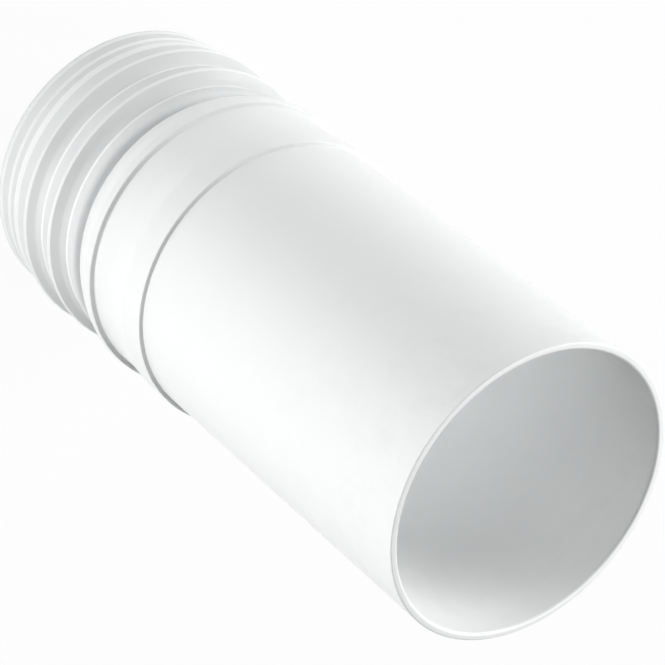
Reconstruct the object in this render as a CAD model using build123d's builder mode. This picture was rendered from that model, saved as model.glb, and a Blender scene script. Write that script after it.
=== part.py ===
from build123d import *
import os

# Straight toilet pan connector, standing on its finned end with the plain mouth up. Sizes in mm.

# Pipe: the plain end has the outside of a 110 mm soil pipe
plain_length = 152.9
pipe_r = 55.0
wall = 2.7
mouth_chamfer_outer = 0.4
mouth_chamfer_inner = 0.9

# Raised stop band, going down: a steep step, a crown in two slopes, then a long ramp down to the waist
band_step_rise = 0.8
band_mid_rise = 1.5
band_rise = 1.7
band_upper_run = 4.8
band_lower_run = 6.5
ramp_run = 10.5

# Waist between the band and the collar
waist_rise = 0.4
waist_length = 11.3

# Collar, going down: a steep step, a slope up to its crest, then a shoulder that falls away ever faster
collar_step_rise = 1.7
collar_rise = 2.55
crown_run = 3.4
shoulder_runs = (4.8, 4.3, 1.7)
shoulder_falls = (1.35, 1.9, 1.0)

# Lean of the steep steps of the band and the collar
step_run = 0.4

# Spigot under the seal, with a barbed ridge half way along it that keeps the seal on
spigot_length = 58.5
spigot_step = 8.0
spigot_chamfer = 1.0
ridge_rise = 1.0
ridge_ramp = 2.0
ridge_land = 1.5

# Soft seal: a thin sleeve from the collar's underside down to the spigot's chamfer, with barbed ribs on it
# that rise above the pipe's outside on the mouth side and fall towards the end
seal_end_gap = 0.4
root_wall = 2.5
end_rib_width = 9.2
rib_rises = (0.9, 2.8, 3.7, 1.4)
rib_falls = (2.7, 3.0, 2.3, 0.8)
rib_widths = (10.0, 9.7, 8.6, end_rib_width)
first_rib_chamfer = 3.5
rib_chamfer = 2.2
groove_chamfer = 2.6

# Flat lip below the third rib
lip_width = 4.2
lip_fall = 0.2

# Half the height of the slice in which a profile's corners are picked
pick = 0.01

# Worked out from the sizes above, going up from the end
crest_z = spigot_length + sum(shoulder_runs)
collar_top_z = crest_z + crown_run
waist_low_z = collar_top_z + step_run
ramp_low_z = waist_low_z + waist_length
band_low_z = ramp_low_z + ramp_run
band_mid_z = band_low_z + band_lower_run
band_top_z = band_mid_z + band_upper_run
plain_low_z = band_top_z + step_run
mouth_z = plain_low_z + plain_length
bore_r = pipe_r - wall
spigot_r = pipe_r - spigot_step
waist_r = pipe_r + waist_rise
spigot_bore_r = spigot_r - wall
funnel_low_z = spigot_length + wall / 2
funnel_top_z = funnel_low_z + bore_r - spigot_bore_r
root_r = spigot_r + root_wall
rib_pitch = (spigot_length - seal_end_gap - end_rib_width) / (len(rib_rises) - 1)
rib_top_z = [spigot_length - rib_pitch * i for i in range(len(rib_rises))]
ridge_r = spigot_r + ridge_rise
ridge_low_z = spigot_length / 2
ridge_mid_z = ridge_low_z + ridge_ramp
ridge_top_z = ridge_mid_z + ridge_land

# Barbed ridge, shared by the spigot's outside and the seal's inside
ridge = [
    (spigot_r, ridge_low_z),
    (ridge_r, ridge_mid_z),
    (ridge_r, ridge_top_z),
    (spigot_r, ridge_top_z),
]

# Collar's shoulder, listed from the crest down to the seal's seat and turned round to go up
shoulder = [(pipe_r + collar_rise, crest_z)]
for shoulder_run, shoulder_fall in zip(shoulder_runs, shoulder_falls):
    above_r, above_z = shoulder[-1]
    shoulder.append((above_r - shoulder_fall, above_z - shoulder_run))
shoulder.reverse()

# Outside of the seal, listed from the collar down; the last rib ends in the seal's end face
ribs = []
for rib_rise, rib_fall, rib_width, top_z in zip(rib_rises, rib_falls, rib_widths, rib_top_z):
    ribs.append([
        (root_r, top_z),
        (pipe_r + rib_rise, top_z),
        (pipe_r + rib_rise - rib_fall, top_z - rib_width),
        (root_r, top_z - rib_width),
    ])
first_rib, second_rib, third_rib, end_rib = ribs
lip_r, lip_top_z = third_rib[2]
lip = [
    (lip_r - lip_fall, lip_top_z - lip_width),
    (root_r, lip_top_z - lip_width),
]


def corners(z):
    return vertices().filter_by_position(Axis.Y, z - pick, z + pick).sort_by(Axis.X)


# Rigid pipe: plain end, stop band, waist, collar, funnel and spigot in one moulding
with BuildPart() as pipe_body:
    with BuildSketch(Plane.XZ):
        with BuildLine():
            Polyline(
                (spigot_bore_r, 0),
                (spigot_r, 0),
                *ridge,
                (spigot_r, spigot_length),
                *shoulder,
                (pipe_r + collar_step_rise, collar_top_z),
                (waist_r, waist_low_z),
                (waist_r, ramp_low_z),
                (pipe_r + band_rise, band_low_z),
                (pipe_r + band_mid_rise, band_mid_z),
                (pipe_r + band_step_rise, band_top_z),
                (pipe_r, plain_low_z),
                (pipe_r, mouth_z),
                (bore_r, mouth_z),
                (bore_r, funnel_top_z),
                (spigot_bore_r, funnel_low_z),
                close=True,
            )
        make_face()
        chamfer(corners(mouth_z)[-1], mouth_chamfer_outer)
        chamfer(corners(mouth_z)[0], mouth_chamfer_inner)
        chamfer(corners(0)[-1], seal_end_gap)
        chamfer(corners(0)[0], spigot_chamfer)
    revolve(axis=Axis.Z)
pipe_body.part.label = "pipe_body"

# Soft seal: sleeve seated on the spigot from its end up to the collar's underside
with BuildPart() as finned_seal:
    with BuildSketch(Plane.XZ):
        with BuildLine():
            Polyline(
                (spigot_r, seal_end_gap),
                *ridge,
                (spigot_r, spigot_length),
                *first_rib[1:],
                *second_rib,
                *third_rib[:3],
                *lip,
                *end_rib[:3],
                close=True,
            )
        make_face()
        chamfer(corners(spigot_length)[-1], first_rib_chamfer)
        for top_z in rib_top_z[1:]:
            chamfer(corners(top_z)[-1], rib_chamfer)
        for top_z in rib_top_z[1:3]:
            chamfer(corners(top_z)[0], groove_chamfer)
    revolve(axis=Axis.Z)
finned_seal.part.label = "finned_seal"

os.makedirs("parts", exist_ok=True)
export_step(pipe_body.part, "parts/pipe_body.step")
export_step(finned_seal.part, "parts/finned_seal.step")
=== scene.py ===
"""Straight toilet pan connector: a rigid white pipe with a soft finned seal, on a pale studio floor."""

import math

import bpy
import numpy as np
from mathutils import Matrix, Vector


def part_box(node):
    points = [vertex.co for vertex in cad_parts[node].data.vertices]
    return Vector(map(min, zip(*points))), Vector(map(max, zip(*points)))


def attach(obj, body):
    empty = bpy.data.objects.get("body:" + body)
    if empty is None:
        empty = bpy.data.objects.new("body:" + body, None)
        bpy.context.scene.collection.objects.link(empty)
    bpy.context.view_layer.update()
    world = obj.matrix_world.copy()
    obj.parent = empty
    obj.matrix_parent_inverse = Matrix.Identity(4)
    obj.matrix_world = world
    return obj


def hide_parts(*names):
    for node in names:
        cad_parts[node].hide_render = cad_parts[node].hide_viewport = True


bl_info = {
    "name": "Pan connector",
    "version": (1, 0, 0),
    "blender": (4, 5, 0),
    "location": "3D View > Sidebar > Pan connector",
    "description": "Builds the pipe, the finned seal and the studio of a toilet pan connector",
    "category": "Add Mesh",
}

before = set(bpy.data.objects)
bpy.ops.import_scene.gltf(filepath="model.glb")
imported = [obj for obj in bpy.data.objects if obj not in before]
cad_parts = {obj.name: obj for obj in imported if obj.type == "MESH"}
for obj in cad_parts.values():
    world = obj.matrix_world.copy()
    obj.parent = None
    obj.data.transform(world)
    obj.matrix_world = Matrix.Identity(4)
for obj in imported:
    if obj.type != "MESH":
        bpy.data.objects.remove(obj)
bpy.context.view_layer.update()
PIPE_LOW, PIPE_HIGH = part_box("pipe_body")
SEAL_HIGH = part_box("finned_seal")[1]
MM = 0.001

# Fineness of the turned surfaces: points along a rounding, and steps round the axis
ARC_POINTS = 9
SIDES = 288

# Reach of the points that keep the straight runs beside a rounding flat in smooth shading
GUARD = 0.3 * MM

# Middle of a groove's hollow, as shares of the way out and down from its foot to the next rib's bevel
GROOVE_MIDDLE = (0.44, 0.54)

# Soft lamps: name, place and size in metres, power in watts, and whether reflections show the lamp.
# The outlet's lamp stands for light that comes in through that open end, which the floor closes here.
LAMPS = (
    ("side_softbox", (0.79, -0.565, 0.13), (0.7, 0.26), 6.0, True),
    ("back_softbox", (-0.1, 0.3, 0.8), (0.3, 0.3), 2.6, True),
    ("left_softbox", (-1.4, 0.375, 0.9), (0.9, 0.9), 20.5, True),
    ("outlet_softbox", (0, 0, 0.003), (0.06, 0.06), 0.05, False),
    ("front_softbox", (-0.34, -1.58, 0.5), (0.9, 0.9), 6.8, True),
)
LAMP_AIM = Vector((0, 0, 0.13))

SENSOR_MM = 36
WHITE = (1, 1, 1, 1)
BLACK = (0, 0, 0, 1)

# Numbers of a Mix node's colour sockets: the first colour, the second colour and the result
MIX_FIRST, MIX_SECOND, MIX_RESULT = 6, 7, 2


def linear(code):
    """sRGB hex code to linear colour: a straight line at the foot of the curve, then a power of 2.4."""
    values = np.array([int(code[i : i + 2], 16) for i in (1, 3, 5)]) / 255
    return tuple(np.where(values <= 0.04045, values / 12.92, ((values + 0.055) / 1.055) ** 2.4))


def length(name, description, mm):
    """A size property in metres from a default in millimetres."""
    return bpy.props.FloatProperty(
        name=name, description=description, default=mm * MM, precision=5, subtype="DISTANCE", unit="LENGTH"
    )


def lengths(name, description, *row_mm):
    """A row of sizes in metres from defaults in millimetres."""
    return bpy.props.FloatVectorProperty(
        name=name,
        description=description,
        default=[mm * MM for mm in row_mm],
        size=len(row_mm),
        precision=5,
        unit="LENGTH",
    )


def colour(name, description, code):
    """A colour property from an sRGB hex code."""
    return bpy.props.FloatVectorProperty(
        name=name, description=description, default=linear(code), size=3, min=0, max=1, subtype="COLOR"
    )


class PipeSettings(bpy.types.PropertyGroup):
    """Sizes and colours of the rigid pipe"""

    pipe_radius: length("Pipe radius", "Outside of the plain end", 55.0)
    wall: length("Wall", "Wall of the pipe and the spigot", 2.7)
    mouth_round_outer: length("Outer mouth rounding", "Rounding of the mouth's outer edge", 0.5)
    mouth_round_inner: length("Inner mouth rounding", "Rounding of the mouth's inner edge", 1.0)
    band_top: length("Band top", "Height of the stop band's step", 106.2)
    band_step: length("Band step", "Rise of the stop band's steep step", 1.6)
    band_step_round: length("Band step rounding", "Rounding of the stop band's upper edge", 0.45)
    band_foot_round: length("Band foot rounding", "Rounding at the foot of the stop band's step", 0.15)
    band_mid_rise: length("Band middle rise", "Rise of the stop band in the middle of its crown", 1.5)
    band_mid_round: length("Band middle rounding", "Rounding in the middle of the stop band's crown", 12.0)
    band_rise: length("Band rise", "Rise of the stop band at its lower edge", 1.7)
    band_low_round: length("Band lower rounding", "Rounding of the stop band's lower edge", 0.8)
    band_upper_run: length("Band upper run", "Length of the crown above its middle", 4.8)
    band_lower_run: length("Band lower run", "Length of the crown below its middle", 6.5)
    ramp_run: length("Ramp", "Length of the ramp under the stop band", 10.5)
    ramp_foot_round: length("Ramp foot rounding", "Rounding between the ramp and the waist", 8.0)
    waist_rise: length("Waist rise", "Rise of the waist", 0.4)
    collar_step: length("Collar step", "Rise of the collar at its steep step", 2.4)
    collar_step_round: length("Collar step rounding", "Rounding of the collar's upper edge", 0.5)
    collar_foot_round: length("Collar foot rounding", "Rounding at the foot of the collar's step", 0.5)
    step_run: length("Step run", "Lean of the two steps", 0.12)
    collar_rise: length("Collar rise", "Rise of the collar at its crest", 2.55)
    crest_height: length("Crest height", "Height of the collar's crest", 69.3)
    crest_round: length("Crest rounding", "Rounding of the collar's crest", 0.9)
    crown_run: length("Crown", "Length of the slope between the collar's crest and its step", 3.4)
    seat: length("Seat", "Height of the collar's underside, where the seal ends", 58.5)
    shoulder_falls: lengths("Shoulder falls", "Shoulder's corners, in from the crest", 4.25, 3.25, 1.35)
    shoulder_rises: lengths("Shoulder rises", "Heights of those corners above the seat", 0.0, 1.7, 6.0)
    shoulder_rounds: lengths("Shoulder roundings", "Roundings of those corners", 0.4, 3.0, 12.0)
    spigot_radius: length("Spigot radius", "Outside of the spigot under the seal", 47.0)
    spigot_root_round: length("Spigot root rounding", "Rounding between the spigot and the collar", 0.3)
    spigot_end_round: length("Spigot end rounding", "Rounding of the spigot's end, outside", 0.4)
    outlet_round: length("Outlet rounding", "Rounding of the spigot's end, inside", 1.0)
    funnel_round: length("Funnel rounding", "Rounding above and below the funnel", 2.0)
    bloom_size: length("Bloom size", "Size of the patches of bloom", 9.0)
    bloom_reach: length("Bloom reach", "How far below the mouth the bloom is at its weakest", 89.5)
    bloom_full: length("Bloom at full", "How far below the mouth the bloom is at its strongest", 9.5)
    skin_size: length("Skin size", "Size of the unevenness of the skin", 2.5)
    body_colour: colour("Pipe colour", "White of the moulded polypropylene", "#f8f9f9")
    cloud_colour: colour("Cloud colour", "Faint grey bloom left by handling", "#eaecec")


class SealSettings(bpy.types.PropertyGroup):
    """Sizes and colours of the soft finned seal"""

    sleeve_wall: length("Sleeve wall", "Thickness of the sleeve between the ribs", 2.5)
    sleeve_round: length("Sleeve rounding", "Rounding of the sleeve's hidden corners", 0.2)
    end_gap: length("End gap", "How far the seal stops short of the spigot's end", 0.4)
    rib_rises: lengths("Rib rises", "Ribs' tops above the pipe, from the collar down", 0.9, 2.2, 3.1, 0.8)
    low_rises: lengths("Lower rises", "Ribs' lower edges above the pipe", -1.8, -0.2, 1.4, 0.6)
    rib_widths: lengths("Rib widths", "Widths of the first three ribs", 10.7, 10.2, 8.6)
    end_rib_width: length("End rib width", "Width of the last rib", 9.2)
    lip_width: length("Lip width", "Width of the flat lip below the third rib", 3.7)
    lip_fall: length("Lip fall", "Fall of the flat lip towards the end", 0.2)
    crevice_top: length("Crevice top", "Height of the first rib's upper face at the sleeve", 56.4)
    crevice_radius: length("Crevice radius", "Outer end of the first rib's upper face", 54.9)
    crevice_low: length("Crevice low", "Height of the first rib's upper face at its outer end", 54.8)
    first_rib_round: length("First rib rounding", "Rounding of the first rib towards the collar", 2.4)
    bevel_fall: length("Bevel fall", "Rise of the bevel along the ribs' upper corners", 0.5)
    bevel_run: length("Bevel run", "Length of the bevel along the ribs' upper corners", 1.3)
    edge_width: length("Edge width", "Width of the flat edge along the ribs' lower corners", 1.3)
    edge_round: length("Edge rounding", "Rounding of the ribs' edges", 0.3)
    # Painted highlight: half the height over which the whiter band painted along each rib edge fades
    highlight_fade: length("Edge fade", "Half the height over which an edge's whiter look fades", 0.15)
    groove_depth: length("Groove depth", "Depth of the grooves under a rib's lower edge", 1.5)
    groove_lean: length("Groove lean", "How far a groove's foot lies below the edge above it", 0.5)
    groove_round: length("Groove rounding", "Rounding half way along a groove's hollow", 5.0)
    end_land_low: length("End land", "Height at which the last rib's land ends in its edge", 3.2)
    end_land_fall: length("End land fall", "Fall of the last rib's land", 0.6)
    end_edge_low: length("End edge", "Height at which the last rib's edge ends", 1.6)
    end_round: length("End rounding", "Rounding of the seal's end", 0.8)
    cloud_size: length("Cloud size", "Size of the clouds in the colour", 22.0)
    grain_size: length("Grain size", "Size at which the tool's grain is drawn", 0.6)
    seal_colour: colour("Seal colour", "White of the soft elastomer", "#ebeded")
    shade_colour: colour("Seal shade", "Slightly greyer cloud in the elastomer", "#e5e7e7")
    # Painted highlight colour, painted on bands along the ribs' edges; the elastomer itself is not whiter
    # there
    painted_highlight_colour: colour("Edge colour", "Whiter look of the ribs' thin, translucent edges", "#fbfcfc")


class StageSettings(bpy.types.PropertyGroup):
    """Camera and floor"""

    camera_place: bpy.props.FloatVectorProperty(
        name="Camera place",
        description="Where the camera stands",
        default=(0, -0.7317, 0.8622),
        subtype="XYZ",
        unit="LENGTH",
    )
    camera_dip: bpy.props.FloatProperty(
        name="Camera dip",
        description="Angle below the horizon",
        default=math.radians(44.484),
        subtype="ANGLE",
    )
    camera_roll: bpy.props.FloatProperty(
        name="Camera roll",
        description="Turn about the view axis",
        default=math.radians(129.213),
        subtype="ANGLE",
    )
    camera_lens: bpy.props.FloatProperty(
        name="Lens", description="Focal length on a 36 mm sensor", default=158.43, subtype="DISTANCE_CAMERA"
    )
    floor_half: bpy.props.FloatProperty(
        name="Floor", description="Half the floor's side", default=6.0, subtype="DISTANCE", unit="LENGTH"
    )
    floor_glow: bpy.props.FloatProperty(
        name="Floor glow",
        description="Share of plain white in what the camera sees of the floor; the rest keeps the shadow",
        default=0.95,
        min=0,
        max=1,
        subtype="FACTOR",
    )
    floor_colour: colour("Floor colour", "Pale studio floor", "#f4f4f4")


def rounded_profile(corners):
    """Closed outline of straight runs with rounded corners.

    Each row of corners is radius from the axis, height and rounding. A rounding of radius p that turns
    the run by the angle a starts p tan(a/2) before the corner. Its points are the start, plus p sin(t)
    along the run, plus p (1 - cos(t)) towards the inside of the turn, for t from 0 to a. A guard point
    just outside each end of the arc keeps the straight runs flat in smooth shading.
    """
    place, radius = corners[:, :2], corners[:, 2]
    run = np.roll(place, -1, axis=0) - place
    reach = np.linalg.norm(run, axis=1)
    leave = run / reach[:, None]
    arrive = np.roll(leave, 1, axis=0)
    cross = arrive[:, 0] * leave[:, 1] - arrive[:, 1] * leave[:, 0]
    angle = np.arctan2(cross, (arrive * leave).sum(axis=1))
    inward = np.stack([-arrive[:, 1], arrive[:, 0]], axis=1) * np.sign(angle)[:, None]
    cut = radius * np.tan(np.abs(angle) / 2)
    spare = reach - cut - np.roll(cut, -1)
    if spare.min() <= 0:
        raise ValueError(f"roundings overlap after corner {int(spare.argmin())}")
    guard = np.minimum(GUARD, spare / 4)
    start = place - arrive * cut[:, None]
    turn = np.abs(angle)[:, None] * np.linspace(0, 1, ARC_POINTS)
    arc = start[:, None] + radius[:, None, None] * (
        np.sin(turn)[..., None] * arrive[:, None] + (1 - np.cos(turn))[..., None] * inward[:, None]
    )
    before = start - arrive * np.roll(guard, 1)[:, None]
    after = place + leave * (cut + guard)[:, None]
    return np.concatenate([before[:, None], arc, after[:, None]], axis=1).reshape(-1, 2)


def turned_surface(outline):
    """Surface of revolution on a grid: point (i, j) has the outline's radius r and height h at i, and lies
    at r cos(b), r sin(b), h with b = 2 pi j / SIDES. Both directions of the grid close on themselves."""
    angle = np.linspace(0, 2 * np.pi, SIDES, endpoint=False)
    radius, height = outline[:, 0, None], outline[:, 1, None]
    points = np.stack(
        [radius * np.cos(angle), radius * np.sin(angle), height + 0 * angle],
        axis=-1,
    )
    rows = np.arange(len(outline))[:, None]
    columns = np.arange(SIDES)[None, :]
    next_row, next_column = (rows + 1) % len(outline), (columns + 1) % SIDES
    faces = np.stack(
        [
            rows * SIDES + columns,
            rows * SIDES + next_column,
            next_row * SIDES + next_column,
            next_row * SIDES + columns,
        ],
        axis=-1,
    )
    return points.reshape(-1, 3), faces.reshape(-1, 4)


def add_turned_piece(name, corners, material, node):
    """Turns a rounded outline into a closed mesh that rides on the one body and stands for its CAD node."""
    points, faces = turned_surface(rounded_profile(np.array(corners)))
    mesh = bpy.data.meshes.new(name)
    mesh.from_pydata(points, [], faces)
    mesh.validate()
    mesh.shade_smooth()
    mesh.materials.append(material)
    piece = bpy.data.objects.new(name, mesh)
    bpy.context.scene.collection.objects.link(piece)
    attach(piece, "root")
    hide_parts(node)


def add_node(tree, kind, settings=None, inputs=None):
    """Adds a shader node; inputs maps a socket's name or number to a value or to another node's output."""
    node = tree.nodes.new(kind)
    for key, value in (settings or {}).items():
        setattr(node, key, value)
    for key, value in (inputs or {}).items():
        if isinstance(value, bpy.types.NodeSocket):
            tree.links.new(value, node.inputs[key])
        else:
            node.inputs[key].default_value = value
    return node


def new_material(name):
    """Empty node material with an output node; returns the material, its tree and the output."""
    material = bpy.data.materials.new(name)
    # A surface that glows is only there to be seen, and isn't sampled as a lamp
    material.cycles.emission_sampling = "NONE"
    material.use_nodes = True
    tree = material.node_tree
    tree.nodes.clear()
    return material, tree, add_node(tree, "ShaderNodeOutputMaterial")


def moulded_polypropylene(settings):
    """White polypropylene, injection moulded in a polished tool: an even satin gloss that mirrors soft
    lights broadly, with a barely uneven skin, and near the mouth a faint cloudy bloom from handling."""
    material, tree, output = new_material("moulded_white_polypropylene")
    place = add_node(tree, "ShaderNodeTexCoord").outputs["Object"]
    cloud = add_node(
        tree,
        "ShaderNodeTexNoise",
        inputs={"Vector": place, "Scale": 1 / settings.bloom_size, "Detail": 5, "Roughness": 0.6},
    )
    bloom = add_node(
        tree,
        "ShaderNodeMapRange",
        inputs={
            "Value": cloud.outputs["Fac"],
            "From Min": 0.45,
            "From Max": 0.75,
            "To Min": 0,
            "To Max": 0.4,
        },
    )
    height = add_node(tree, "ShaderNodeSeparateXYZ", inputs={0: place}).outputs["Z"]
    handled = add_node(
        tree,
        "ShaderNodeMapRange",
        inputs={
            "Value": height,
            "From Min": PIPE_HIGH.z - settings.bloom_reach,
            "From Max": PIPE_HIGH.z - settings.bloom_full,
            "To Min": 0.1,
            "To Max": 1,
        },
    )
    cloud_share = add_node(
        tree,
        "ShaderNodeMath",
        {"operation": "MULTIPLY"},
        {0: bloom.outputs["Result"], 1: handled.outputs["Result"]},
    )
    tint = add_node(
        tree,
        "ShaderNodeMix",
        {"data_type": "RGBA"},
        {
            "Factor": cloud_share.outputs[0],
            MIX_FIRST: (*settings.body_colour, 1),
            MIX_SECOND: (*settings.cloud_colour, 1),
        },
    )
    gloss = add_node(
        tree,
        "ShaderNodeMapRange",
        inputs={
            "Value": cloud.outputs["Fac"],
            "From Min": 0.3,
            "From Max": 0.7,
            "To Min": 0.3,
            "To Max": 0.38,
        },
    )
    skin = add_node(
        tree,
        "ShaderNodeTexNoise",
        inputs={"Vector": place, "Scale": 1 / settings.skin_size, "Detail": 2, "Roughness": 0.5},
    )
    bump = add_node(
        tree,
        "ShaderNodeBump",
        inputs={"Height": skin.outputs["Fac"], "Strength": 0.05, "Distance": 0.05 * MM},
    )
    shader = add_node(
        tree,
        "ShaderNodeBsdfPrincipled",
        inputs={
            "Base Color": tint.outputs[MIX_RESULT],
            "Roughness": gloss.outputs["Result"],
            "IOR": 1.49,
            "Normal": bump.outputs["Normal"],
        },
    )
    tree.links.new(shader.outputs["BSDF"], output.inputs["Surface"])
    return material


def moulded_elastomer(settings, edges):
    """White soft elastomer, moulded in a fine-blasted tool: a matte skin with a dry, powdery sheen and a
    faint cloud in the colour, greyer than the rigid pipe. Bands along the ribs' thin edges carry a painted
    highlight, a whiter colour; edges lists their lower and upper heights, going up."""
    material, tree, output = new_material("moulded_soft_white_elastomer")
    place = add_node(tree, "ShaderNodeTexCoord").outputs["Object"]
    cloud = add_node(
        tree,
        "ShaderNodeTexNoise",
        inputs={"Vector": place, "Scale": 1 / settings.cloud_size, "Detail": 4, "Roughness": 0.55},
    )
    tint = add_node(
        tree,
        "ShaderNodeMix",
        {"data_type": "RGBA"},
        {
            "Factor": cloud.outputs["Fac"],
            MIX_FIRST: (*settings.seal_colour, 1),
            MIX_SECOND: (*settings.shade_colour, 1),
        },
    )
    height = add_node(tree, "ShaderNodeSeparateXYZ", inputs={0: place}).outputs["Z"]
    level = add_node(tree, "ShaderNodeMath", {"operation": "DIVIDE"}, {0: height, 1: SEAL_HIGH.z})
    # Painted highlight mask: white on the bands along the ribs' edges, black elsewhere
    highlight_ramp = add_node(tree, "ShaderNodeValToRGB", inputs={0: level.outputs[0]})
    stops = highlight_ramp.color_ramp.elements
    stops[0].color = BLACK
    stops[1].color = BLACK
    fade = settings.highlight_fade
    for low, high in edges:
        stops.new((low - fade) / SEAL_HIGH.z).color = BLACK
        stops.new((low + fade) / SEAL_HIGH.z).color = WHITE
        stops.new((high - fade) / SEAL_HIGH.z).color = WHITE
        stops.new((high + fade) / SEAL_HIGH.z).color = BLACK
    # Painted highlight: the edge bands take the whiter colour
    highlight_tint = add_node(
        tree,
        "ShaderNodeMix",
        {"data_type": "RGBA"},
        {
            "Factor": highlight_ramp.outputs["Color"],
            MIX_FIRST: tint.outputs[MIX_RESULT],
            MIX_SECOND: (*settings.painted_highlight_colour, 1),
        },
    )
    # A blasted tool's grain of about 0.1 mm is drawn coarser, at grain_size, so that it shows in the render
    grain = add_node(
        tree,
        "ShaderNodeTexNoise",
        inputs={"Vector": place, "Scale": 1 / settings.grain_size, "Detail": 2, "Roughness": 0.5},
    )
    bump = add_node(
        tree,
        "ShaderNodeBump",
        inputs={"Height": grain.outputs["Fac"], "Strength": 0.12, "Distance": 0.05 * MM},
    )
    dryness = add_node(
        tree,
        "ShaderNodeMapRange",
        inputs={
            "Value": cloud.outputs["Fac"],
            "From Min": 0.3,
            "From Max": 0.7,
            "To Min": 0.42,
            "To Max": 0.52,
        },
    )
    shader = add_node(
        tree,
        "ShaderNodeBsdfPrincipled",
        inputs={
            "Base Color": highlight_tint.outputs[MIX_RESULT],
            "Roughness": dryness.outputs["Result"],
            "IOR": 1.48,
            "Normal": bump.outputs["Normal"],
        },
    )
    tree.links.new(shader.outputs["BSDF"], output.inputs["Surface"])
    return material


def studio_white(settings):
    """Pale floor paper: diffuse, but mostly plain white to the camera, so that only a soft shadow shows."""
    material, tree, output = new_material("pale_studio_paper")
    paper = add_node(
        tree, "ShaderNodeBsdfDiffuse", inputs={"Color": (*settings.floor_colour, 1), "Roughness": 0.5}
    )
    glow = add_node(tree, "ShaderNodeEmission", inputs={"Color": WHITE, "Strength": 1.0})
    path = add_node(tree, "ShaderNodeLightPath")
    seen = add_node(
        tree,
        "ShaderNodeMath",
        {"operation": "MAXIMUM"},
        {0: path.outputs["Is Camera Ray"], 1: path.outputs["Is Glossy Ray"]},
    )
    seen_through = add_node(
        tree,
        "ShaderNodeMath",
        {"operation": "MAXIMUM"},
        {0: seen.outputs[0], 1: path.outputs["Is Transmission Ray"]},
    )
    share = add_node(
        tree,
        "ShaderNodeMath",
        {"operation": "MULTIPLY"},
        {0: seen_through.outputs[0], 1: settings.floor_glow},
    )
    mix = add_node(
        tree,
        "ShaderNodeMixShader",
        inputs={0: share.outputs[0], 1: paper.outputs["BSDF"], 2: glow.outputs["Emission"]},
    )
    tree.links.new(mix.outputs["Shader"], output.inputs["Surface"])
    return material


def add_floor(scene, settings):
    """Square floor at height 0."""
    half = settings.floor_half
    corners = [(-half, -half, 0), (half, -half, 0), (half, half, 0), (-half, half, 0)]
    mesh = bpy.data.meshes.new("studio_floor")
    mesh.from_pydata(corners, [], [(0, 1, 2, 3)])
    mesh.materials.append(studio_white(settings))
    floor = bpy.data.objects.new("studio_floor", mesh)
    scene.collection.objects.link(floor)


def add_backdrop(scene):
    """World that is plain white to the camera and gives no light."""
    world = bpy.data.worlds.new("studio_air")
    world.cycles.sampling_method = "NONE"
    scene.world = world
    world.use_nodes = True
    tree = world.node_tree
    tree.nodes.clear()
    path = add_node(tree, "ShaderNodeLightPath")
    backdrop = add_node(
        tree, "ShaderNodeBackground", inputs={"Color": WHITE, "Strength": path.outputs["Is Camera Ray"]}
    )
    output = add_node(tree, "ShaderNodeOutputWorld")
    tree.links.new(backdrop.outputs["Background"], output.inputs["Surface"])


def add_lamps(scene):
    """Soft lamps, each turned towards one point on the pipe's axis and out of the camera's sight."""
    for name, place, (width, height), watts, mirrored in LAMPS:
        lamp = bpy.data.lights.new(name, "AREA")
        lamp.shape = "RECTANGLE"
        lamp.size = width
        lamp.size_y = height
        lamp.energy = watts
        holder = bpy.data.objects.new(name, lamp)
        holder.location = place
        holder.rotation_euler = (LAMP_AIM - Vector(place)).to_track_quat("-Z", "Y").to_euler()
        holder.visible_camera = False
        holder.visible_glossy = mirrored
        scene.collection.objects.link(holder)


def add_camera(scene, settings):
    """Camera that looks along +Y, dipped below the horizon and then rolled about its view axis."""
    dip, roll = settings.camera_dip, settings.camera_roll
    level = Vector((1, 0, 0))
    upright = Vector((0, math.sin(dip), math.cos(dip)))
    right = level * math.cos(roll) + upright * math.sin(roll)
    up = upright * math.cos(roll) - level * math.sin(roll)
    turn = Matrix((right, up, right.cross(up))).transposed().to_4x4()
    camera = bpy.data.cameras.new("photo_camera")
    camera.sensor_width = SENSOR_MM
    camera.lens = settings.camera_lens
    camera.clip_start = 0.05
    camera.clip_end = 50
    eye = bpy.data.objects.new("photo_camera", camera)
    eye.matrix_world = Matrix.Translation(Vector(settings.camera_place)) @ turn
    scene.collection.objects.link(eye)
    scene.camera = eye


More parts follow.
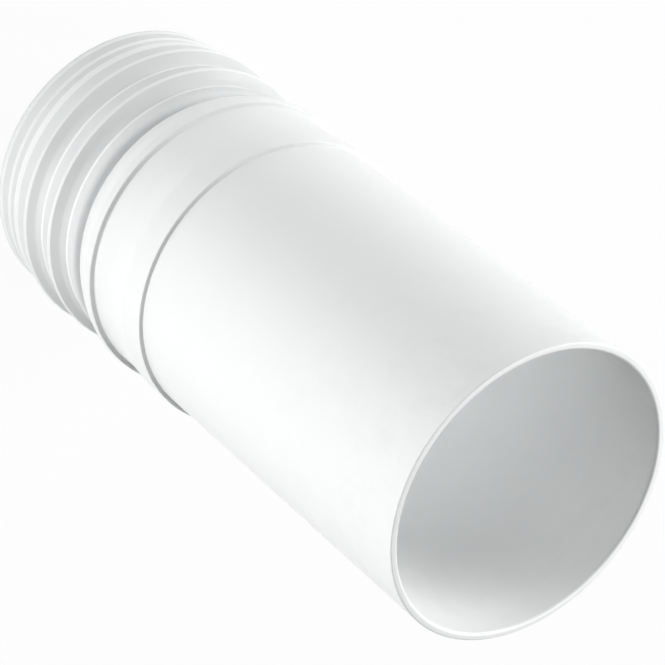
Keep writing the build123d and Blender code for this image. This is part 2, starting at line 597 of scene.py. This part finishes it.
class PANCONNECTOR_OT_pipe(bpy.types.Operator):
    """Turn the rigid pipe: plain end, stop band, waist, collar, shoulder, spigot and funnel"""

    bl_idname = "pan_connector.pipe"
    bl_label = "Rigid pipe"

    def execute(self, context):
        pipe = context.scene.pan_connector_pipe
        outside = pipe.pipe_radius
        bore = outside - pipe.wall
        spigot_bore = pipe.spigot_radius - pipe.wall
        waist = outside + pipe.waist_rise
        crest = outside + pipe.collar_rise
        collar_top = pipe.crest_height + pipe.crown_run
        band_mid = pipe.band_top - pipe.band_upper_run
        band_low = band_mid - pipe.band_lower_run
        funnel_low = pipe.seat + pipe.wall / 2
        mouth = PIPE_HIGH.z
        shoulder = [
            (crest - fall, pipe.seat + rise, rounding)
            for fall, rise, rounding in zip(pipe.shoulder_falls, pipe.shoulder_rises, pipe.shoulder_rounds)
        ]
        corners = [
            (spigot_bore, PIPE_LOW.z, pipe.outlet_round),
            (pipe.spigot_radius, PIPE_LOW.z, pipe.spigot_end_round),
            (pipe.spigot_radius, pipe.seat, pipe.spigot_root_round),
            *shoulder,
            (crest, pipe.crest_height, pipe.crest_round),
            (outside + pipe.collar_step, collar_top, pipe.collar_step_round),
            (waist, collar_top + pipe.step_run, pipe.collar_foot_round),
            (waist, band_low - pipe.ramp_run, pipe.ramp_foot_round),
            (outside + pipe.band_rise, band_low, pipe.band_low_round),
            (outside + pipe.band_mid_rise, band_mid, pipe.band_mid_round),
            (outside + pipe.band_step, pipe.band_top, pipe.band_step_round),
            (outside, pipe.band_top + pipe.step_run, pipe.band_foot_round),
            (outside, mouth, pipe.mouth_round_outer),
            (bore, mouth, pipe.mouth_round_inner),
            (bore, funnel_low + bore - spigot_bore, pipe.funnel_round),
            (spigot_bore, funnel_low, pipe.funnel_round),
        ]
        material = moulded_polypropylene(pipe)
        add_turned_piece("rigid_pipe", corners, material, "pipe_body")
        return {"FINISHED"}


class PANCONNECTOR_OT_seal(bpy.types.Operator):
    """Turn the soft seal: sleeve and ribs on the spigot"""

    bl_idname = "pan_connector.seal"
    bl_label = "Finned seal"

    def execute(self, context):
        seal, pipe = context.scene.pan_connector_seal, context.scene.pan_connector_pipe
        inside = pipe.spigot_radius
        root = inside + seal.sleeve_wall
        # Radius of each rib's top and lower edge, then their heights, from the collar down
        crest = pipe.pipe_radius + np.array(seal.rib_rises)
        low_radius = pipe.pipe_radius + np.array(seal.low_rises)
        pitch = (pipe.seat - seal.end_gap - seal.end_rib_width) / (len(crest) - 1)
        top = pipe.seat - pitch * np.arange(len(crest))
        low = top - np.array([*seal.rib_widths, seal.end_rib_width])
        lip = low[2] - seal.lip_width

        def groove(radius, height, rib):
            """From a lower edge in to the groove's foot, then out in a hollow to the next rib's bevel"""
            foot = np.array([radius - seal.groove_depth, height - seal.groove_lean])
            bevel = np.array([crest[rib] - seal.bevel_fall, top[rib]])
            middle = foot + (bevel - foot) * GROOVE_MIDDLE
            return [
                (radius, height, seal.edge_round),
                (*foot, seal.edge_round),
                (*middle, seal.groove_round),
                (*bevel, seal.edge_round),
                (crest[rib], top[rib] - seal.bevel_run, seal.edge_round),
            ]

        corners = [
            (inside, seal.end_gap, seal.sleeve_round),
            (inside, top[0], seal.sleeve_round),
            (root, top[0], seal.sleeve_round),
            (root, seal.crevice_top, seal.sleeve_round),
            (seal.crevice_radius, seal.crevice_low, seal.first_rib_round),
            (low_radius[0], low[0] + seal.edge_width, seal.edge_round),
            *groove(low_radius[0], low[0], 1),
            (low_radius[1], low[1] + seal.edge_width, seal.edge_round),
            *groove(low_radius[1], low[1], 2),
            (low_radius[2], low[2], seal.edge_round),
            *groove(low_radius[2] - seal.lip_fall, lip, 3),
            (crest[3] - seal.end_land_fall, seal.end_land_low, seal.edge_round),
            (low_radius[3], seal.end_edge_low, seal.edge_round),
            (low_radius[3], seal.end_gap, seal.end_round),
        ]
        # Height bands that get the painted highlight: the last rib's edge, the lip, the ribs' upper bevels
        # and the first two ribs' lower edges
        edges = [
            (seal.end_edge_low, seal.end_land_low),
            (lip, low[2]),
            *((height - seal.bevel_run, height) for height in top[1:]),
            *((height, height + seal.edge_width) for height in low[:2]),
        ]
        material = moulded_elastomer(seal, sorted(edges))
        add_turned_piece("finned_sleeve", corners, material, "finned_seal")
        return {"FINISHED"}


class PANCONNECTOR_OT_stage(bpy.types.Operator):
    """Set the floor, the backdrop, the soft lamps and the camera"""

    bl_idname = "pan_connector.stage"
    bl_label = "Studio"

    def execute(self, context):
        scene = context.scene
        settings = scene.pan_connector_stage
        scene.view_settings.view_transform = "Standard"
        add_floor(scene, settings)
        add_backdrop(scene)
        add_lamps(scene)
        add_camera(scene, settings)
        return {"FINISHED"}


class PANCONNECTOR_PT_panel(bpy.types.Panel):
    """Sidebar panel with the pieces and their settings"""

    bl_label = "Pan connector"
    bl_idname = "PANCONNECTOR_PT_panel"
    bl_space_type = "VIEW_3D"
    bl_region_type = "UI"
    bl_category = "Pan connector"

    def draw(self, context):
        for operator, group in (
            ("pan_connector.pipe", "pan_connector_pipe"),
            ("pan_connector.seal", "pan_connector_seal"),
            ("pan_connector.stage", "pan_connector_stage"),
        ):
            column = self.layout.column(align=True)
            column.operator(operator)
            settings = getattr(context.scene, group)
            for name in settings.__annotations__:
                column.prop(settings, name)


CLASSES = (
    PipeSettings,
    SealSettings,
    StageSettings,
    PANCONNECTOR_OT_pipe,
    PANCONNECTOR_OT_seal,
    PANCONNECTOR_OT_stage,
    PANCONNECTOR_PT_panel,
)


def register():
    for cls in CLASSES:
        bpy.utils.register_class(cls)
    bpy.types.Scene.pan_connector_pipe = bpy.props.PointerProperty(type=PipeSettings)
    bpy.types.Scene.pan_connector_seal = bpy.props.PointerProperty(type=SealSettings)
    bpy.types.Scene.pan_connector_stage = bpy.props.PointerProperty(type=StageSettings)


def unregister():
    del bpy.types.Scene.pan_connector_stage
    del bpy.types.Scene.pan_connector_seal
    del bpy.types.Scene.pan_connector_pipe
    for cls in reversed(CLASSES):
        bpy.utils.unregister_class(cls)


def main():
    register()
    bpy.ops.pan_connector.pipe()
    bpy.ops.pan_connector.seal()
    bpy.ops.pan_connector.stage()


if __name__ == "__main__":
    main()
